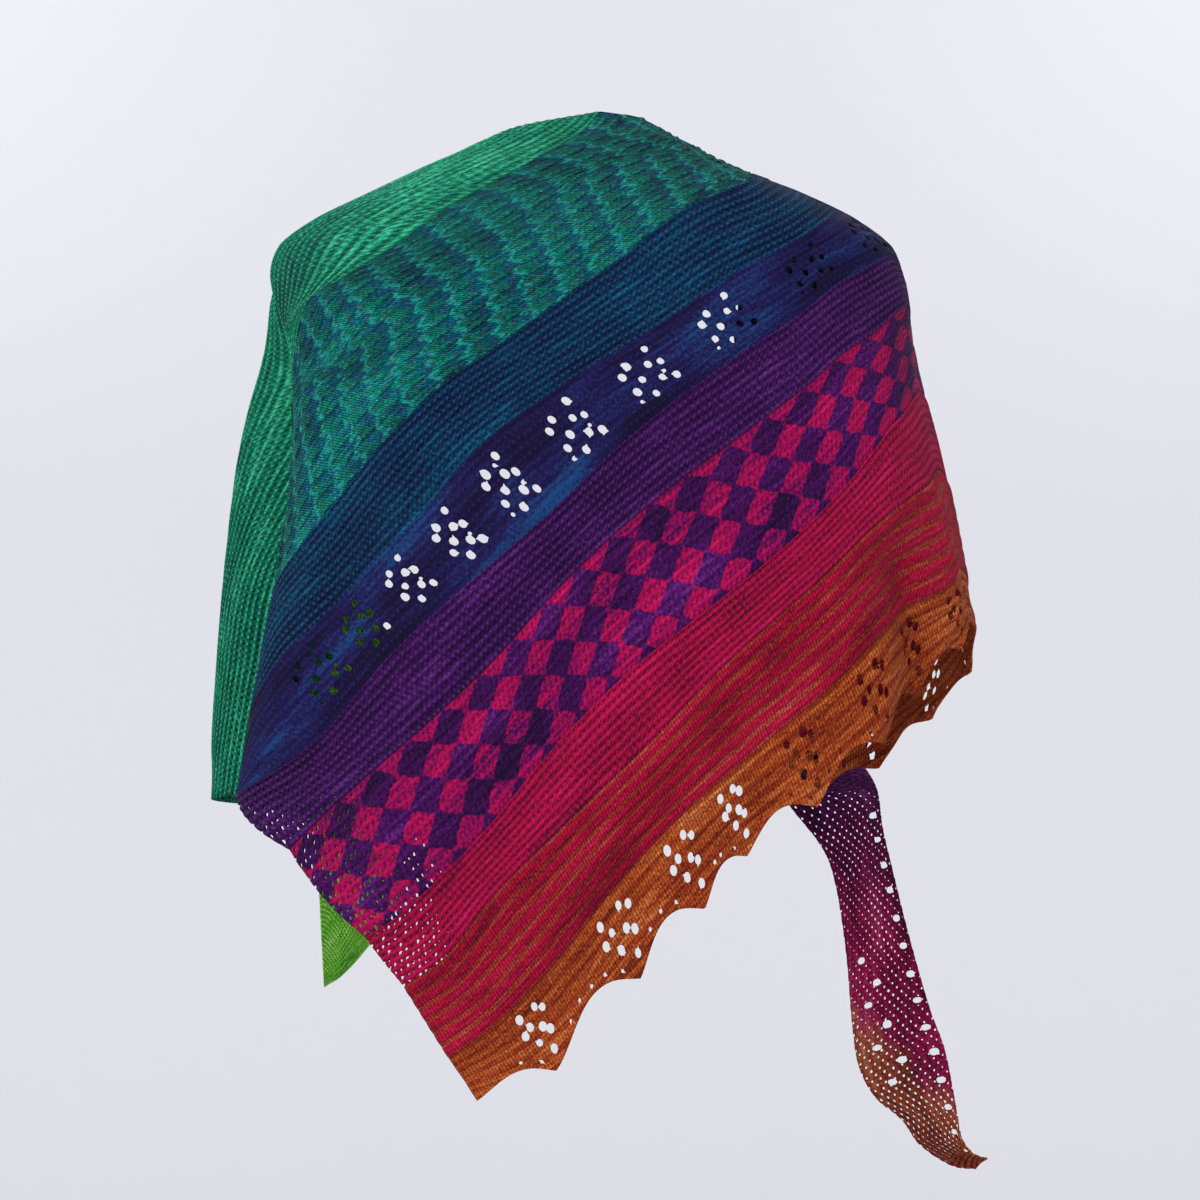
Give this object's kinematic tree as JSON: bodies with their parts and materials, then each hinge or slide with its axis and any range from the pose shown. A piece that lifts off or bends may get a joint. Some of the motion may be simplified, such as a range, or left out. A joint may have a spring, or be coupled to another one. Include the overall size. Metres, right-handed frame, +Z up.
{
  "type": "shawl",
  "caption": "Hand-knitted triangular shawl worn round the shoulders, with lace bands, a scalloped lace border and a hanging tail.",
  "frame": {"origin": "nape of the wearer: the middle of the back neck edge, where the shoulders hold the shawl up", "axes": "+Z up, +Y the way the wearer faces, +X towards the wearer's right arm, so the back of the shawl faces -Y"},
  "size_m": [0.5594, 0.2556, 0.7467],
  "materials": {
    "light_green_tip": "light green knit",
    "light_green_front": "light green knit",
    "green_garter": "green garter ridges",
    "teal_slip_upper": "teal slipped stitches",
    "teal_slip_lower": "teal slipped stitches",
    "blue_garter": "blue garter ridges",
    "navy_lace": "navy knitted lace",
    "purple_garter": "purple garter ridges",
    "check_band": "purple and magenta slipped checks",
    "magenta_garter": "magenta garter ridges",
    "copper_stripes": "red and copper raised stripes",
    "orange_border": "copper lace border",
    "front_lapel": "turned back knit, teal to magenta",
    "front_tail": "magenta to copper knit"
  },
  "bodies": {
    "root": {"light_green_tip": "light_green_tip", "light_green_front": "light_green_front", "green_garter": "green_garter", "teal_slip_upper": "teal_slip_upper", "teal_slip_lower": "teal_slip_lower", "blue_garter": "blue_garter", "navy_lace": "navy_lace", "purple_garter": "purple_garter", "check_band": "check_band", "magenta_garter": "magenta_garter", "copper_stripes": "copper_stripes", "orange_border": "orange_border", "front_lapel": "front_lapel", "front_tail": "front_tail"}
  },
  "joints": []
}
